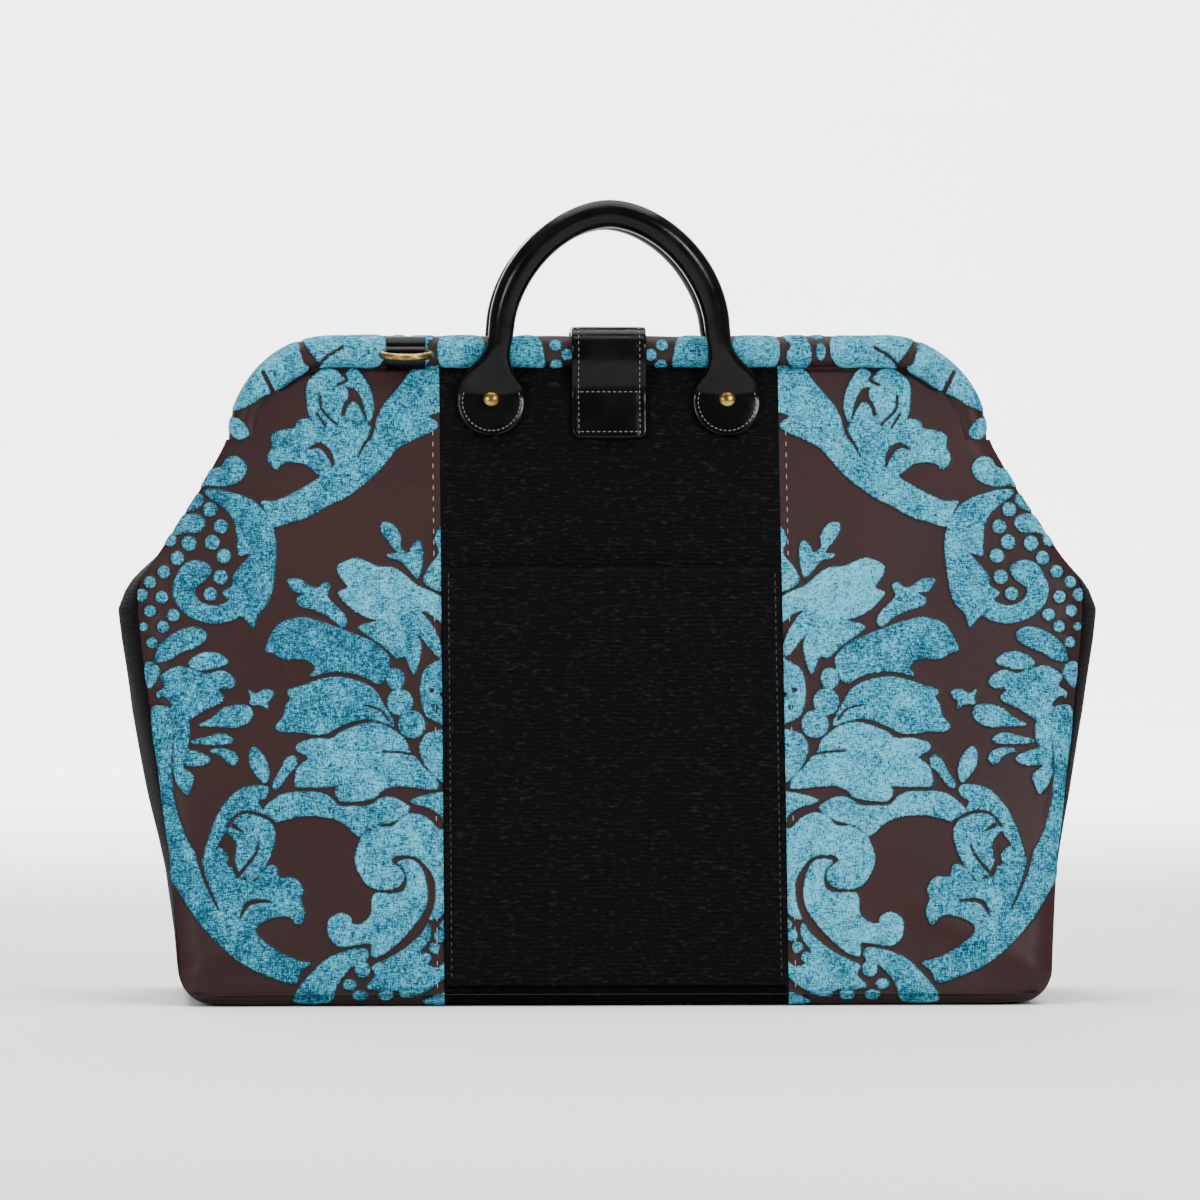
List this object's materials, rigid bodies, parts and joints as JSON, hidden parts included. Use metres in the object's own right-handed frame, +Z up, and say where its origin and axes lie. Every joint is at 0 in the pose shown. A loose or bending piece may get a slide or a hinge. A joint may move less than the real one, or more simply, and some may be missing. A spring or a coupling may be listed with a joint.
{
  "type": "carpet bag",
  "caption": "Soft carpet bag with leaning walls, a hinged frame mouth rolled in cloth, two leather loop handles, a snap strap, a front slip pocket and rings for a shoulder strap.",
  "frame": {"origin": "on the floor under the middle of the bag", "axes": "+X along the bag to the right as seen from the pocket side, +Y from the pocket side to the back, +Z up"},
  "size_m": [0.4512, 0.196, 0.3803],
  "materials": {
    "damask": "woven carpet cloth, turquoise pile on a brown satin ground",
    "chenille": "black chenille",
    "lining_cotton": "plain cotton",
    "board": "matte",
    "leather": "glossy black leather",
    "cord": "twisted cotton cord",
    "brass": "antique, polished on the edges",
    "steel": "plain"
  },
  "bodies": {
    "bag": {"base_cloth": "chenille", "base_board": "board", "left_gusset": "chenille", "right_gusset": "chenille", "front_left_panel": "damask", "front_centre_panel": "chenille", "front_right_panel": "damask", "back_left_panel": "damask", "back_centre_panel": "chenille", "back_right_panel": "damask", "pocket_panel": "chenille", "lining": "lining_cotton", "left_hinge_plate": "steel", "right_hinge_plate": "steel", "hinge_rivets": "steel"},
    "front_frame": {"front_frame_strip": "steel", "front_collar": "damask", "front_left_tab": "leather", "front_right_tab": "leather", "front_tab_rivets": "brass", "front_tab_washers": "brass", "strap_anchor": "leather", "front_ring_loop": "leather"},
    "back_frame": {"back_frame_strip": "steel", "back_collar": "damask", "back_left_tab": "leather", "back_right_tab": "leather", "back_tab_rivets": "brass", "back_tab_washers": "brass", "snap_magnet": "steel", "back_ring_loop": "leather"},
    "front_handle": {"front_handle_cover": "leather", "front_handle_core": "cord"},
    "back_handle": {"back_handle_cover": "leather", "back_handle_core": "cord"},
    "strap": {"closing_strap": "leather", "snap_plate": "steel"},
    "left_ring": {"front_ring": "brass"},
    "right_ring": {"back_ring": "brass"}
  },
  "joints": [
    {"name": "front_frame_turn", "type": "hinge", "parent": "bag", "child": "front_frame", "pos_m": [0, -0.01657, 0.25064], "axis": [1, 0, 0], "range_deg": [0, 45]},
    {"name": "back_frame_turn", "type": "hinge", "parent": "bag", "child": "back_frame", "pos_m": [0, 0.01657, 0.25064], "axis": [1, 0, 0], "range_deg": [-45, 0]},
    {"name": "strap_lift", "type": "hinge", "parent": "front_frame", "child": "strap", "pos_m": [0, -0.008, 0.3204], "axis": [1, 0, 0], "range_deg": [0, 135]},
    {"name": "front_handle_swing", "type": "hinge", "parent": "front_frame", "child": "front_handle", "pos_m": [0, -0.02325, 0.305], "axis": [1, 0, 0], "range_deg": [-10, 110], "stiffness_Nm_per_rad": 0.2},
    {"name": "back_handle_swing", "type": "hinge", "parent": "back_frame", "child": "back_handle", "pos_m": [0, 0.02325, 0.305], "axis": [-1, 0, 0], "range_deg": [-10, 110], "stiffness_Nm_per_rad": 0.2},
    {"name": "front_ring_lift", "type": "hinge", "parent": "front_frame", "child": "left_ring", "pos_m": [-0.097, -0.01935, 0.307], "axis": [-1, 0, 0], "range_deg": [0, 110]},
    {"name": "back_ring_lift", "type": "hinge", "parent": "back_frame", "child": "right_ring", "pos_m": [0.097, 0.01935, 0.307], "axis": [1, 0, 0], "range_deg": [0, 110]}
  ],
  "couplings": [
    {"joint": "back_frame_turn", "follows": "front_frame_turn", "ratio": -1},
    {"joint": "strap_lift", "follows": "front_frame_turn", "ratio": 3}
  ]
}
